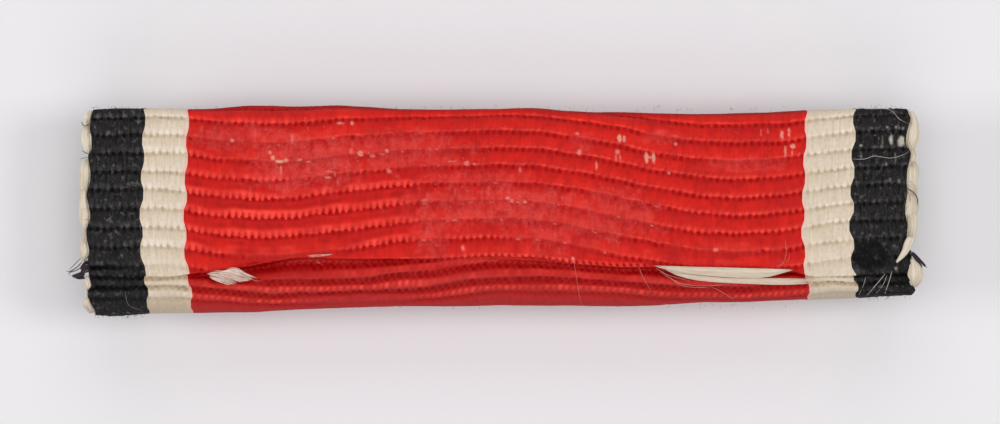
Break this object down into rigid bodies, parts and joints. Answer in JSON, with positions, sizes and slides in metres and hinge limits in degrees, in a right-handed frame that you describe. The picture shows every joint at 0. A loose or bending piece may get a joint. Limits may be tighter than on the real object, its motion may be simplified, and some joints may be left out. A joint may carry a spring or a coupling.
{
  "type": "ribbon bar",
  "caption": "Ribbon bar: a ribbed striped ribbon wound round a flat metal plate with a brooch pin on its back.",
  "frame": {"origin": "middle of the bar's box, on the surface that its pin's feet lie on", "axes": "+X along the bar to its right end as seen from the front, +Y across it to its top edge, +Z out of its front"},
  "size_m": [0.04, 0.01, 0.0056],
  "materials": {
    "red_weave": "ribbed silk weave, worn",
    "cream_weave": "ribbed weave, a little soiled",
    "black_weave": "ribbed cotton weave, fuzzy",
    "cotton_weft": "loose cotton cord",
    "metal": "dull, handled"
  },
  "bodies": {
    "root": {"ribbon": "red_weave", "pin_bar": "metal"}
  },
  "joints": []
}
